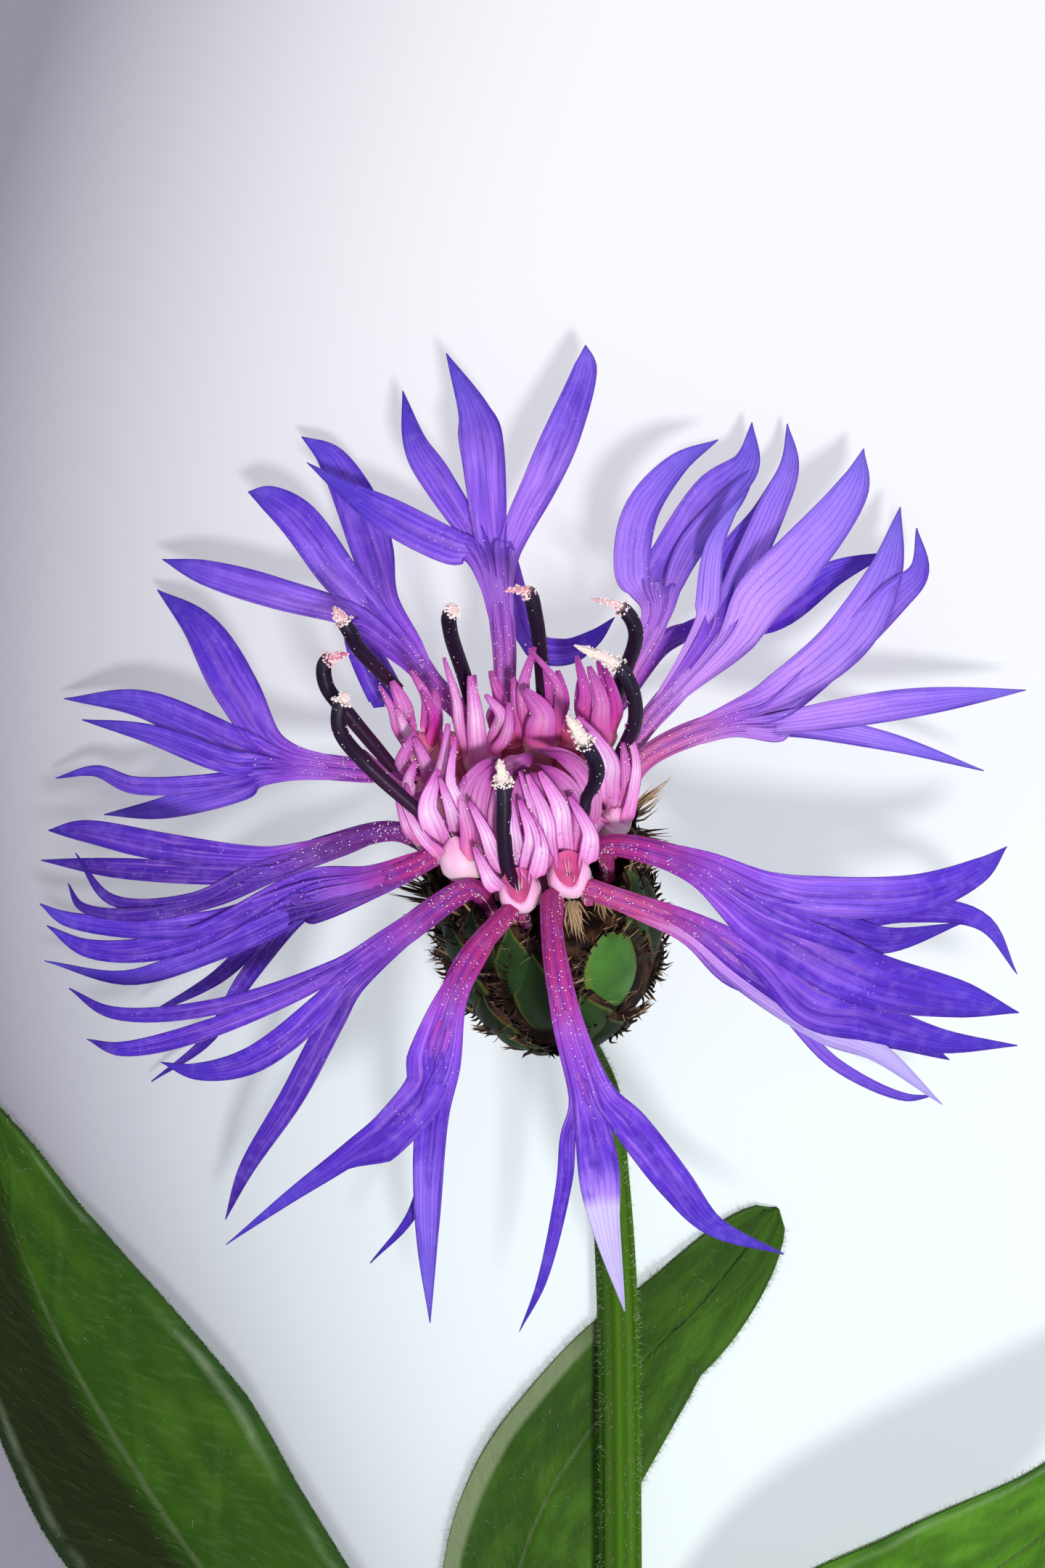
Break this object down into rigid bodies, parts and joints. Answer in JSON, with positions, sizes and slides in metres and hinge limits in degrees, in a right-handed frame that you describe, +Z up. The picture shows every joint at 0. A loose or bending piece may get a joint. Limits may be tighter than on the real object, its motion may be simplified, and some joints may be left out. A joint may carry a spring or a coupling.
{
  "type": "cut flower",
  "caption": "Mountain cornflower head with long blue-violet florets on its cut leafy stem, lying on its side as picked.",
  "frame": {"origin": "middle of the small flat spot on the underside of the flower's cup, where the head rests on the surface", "axes": "+Z up from the surface, +Y from the cut end of the stem towards the flower head, +X to the right seen from above with the head at the top"},
  "size_m": [0.0812, 0.1137, 0.0254],
  "materials": {
    "ray_petal": "thin satin petals, blue-violet at the tips, lilac to pink at the throat, with darker veins",
    "disc_floret": "soft satin, pale lilac-pink with magenta edges, dark purple buds in the middle",
    "anther": "near-black purple with a bluish sheen and pale pollen at the tip",
    "bract": "waxy green scales with dark brown fringed margins",
    "stem": "ribbed green stalk with cobwebby white hairs",
    "leaf": "matt mid-green blade with a pale midrib, veins and white cottony hairs"
  },
  "bodies": {
    "root": {"involucre": "bract", "disc_florets": "disc_floret", "ray_floret_01": "ray_petal", "ray_floret_02": "ray_petal", "ray_floret_03": "ray_petal", "ray_floret_04": "ray_petal", "ray_floret_05": "ray_petal", "ray_floret_06": "ray_petal", "ray_floret_07": "ray_petal", "ray_floret_08": "ray_petal", "ray_floret_09": "ray_petal", "ray_floret_10": "ray_petal", "ray_floret_11": "ray_petal", "ray_floret_12": "ray_petal", "ray_floret_13": "ray_petal", "ray_floret_14": "ray_petal", "anther_tube_01": "anther", "anther_tube_02": "anther", "anther_tube_03": "anther", "anther_tube_04": "anther", "anther_tube_05": "anther", "anther_tube_06": "anther", "anther_tube_07": "anther", "anther_tube_08": "anther", "anther_tube_09": "anther", "stem": "stem", "leaf_left": "leaf", "leaf_middle": "leaf", "leaf_right": "leaf"}
  },
  "joints": []
}
